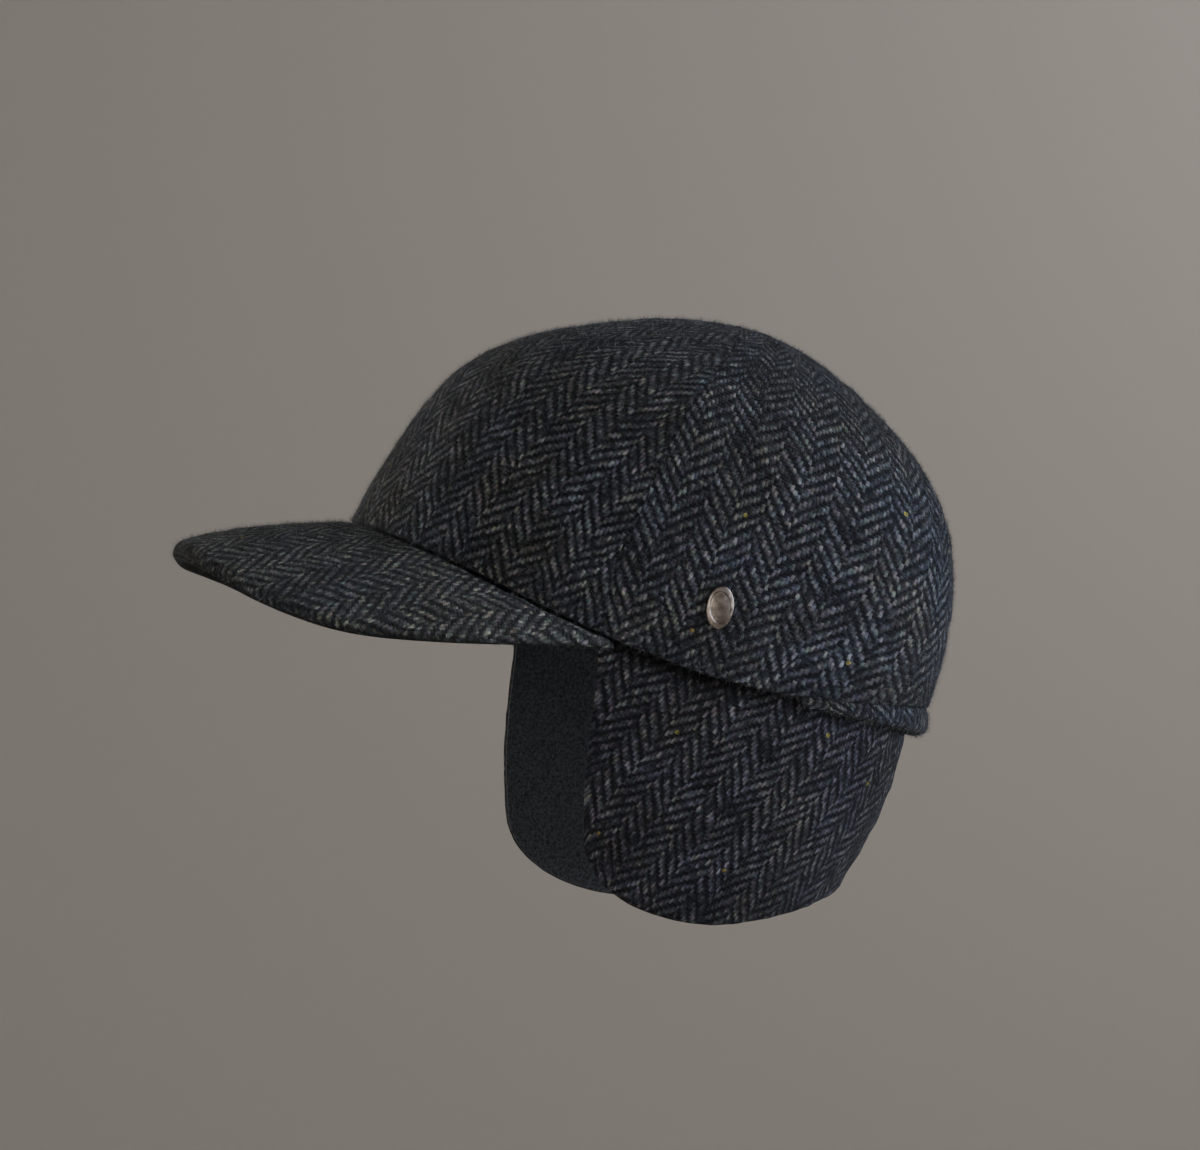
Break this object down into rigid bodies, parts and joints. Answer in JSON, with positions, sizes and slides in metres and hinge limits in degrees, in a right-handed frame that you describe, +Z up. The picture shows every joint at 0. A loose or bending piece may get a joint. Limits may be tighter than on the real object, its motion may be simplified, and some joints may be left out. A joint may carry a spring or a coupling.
{
  "type": "baseball cap with earflaps",
  "caption": "Herringbone wool cap with a curved peak, a domed crown and an earflap band that hangs round the ears and nape.",
  "frame": {"origin": "middle of the head opening, at the height of the side edges of the crown, where a head holds the cap", "axes": "+X to the wearer's left, -Y the way the wearer faces, +Z up through the crown"},
  "size_m": [0.1804, 0.269, 0.2046],
  "materials": {
    "crown_wool": "woven herringbone wool, slightly fuzzy",
    "peak_wool": "woven herringbone wool over a stiff board",
    "flap_wool": "woven herringbone wool, doubled",
    "pewter": "satin cast pewter"
  },
  "bodies": {
    "root": {"front_panel": "crown_wool", "left_panel": "crown_wool", "right_panel": "crown_wool", "peak": "peak_wool", "earflap_band": "flap_wool", "rear_hem": "crown_wool", "pin_badge": "pewter"}
  },
  "joints": []
}
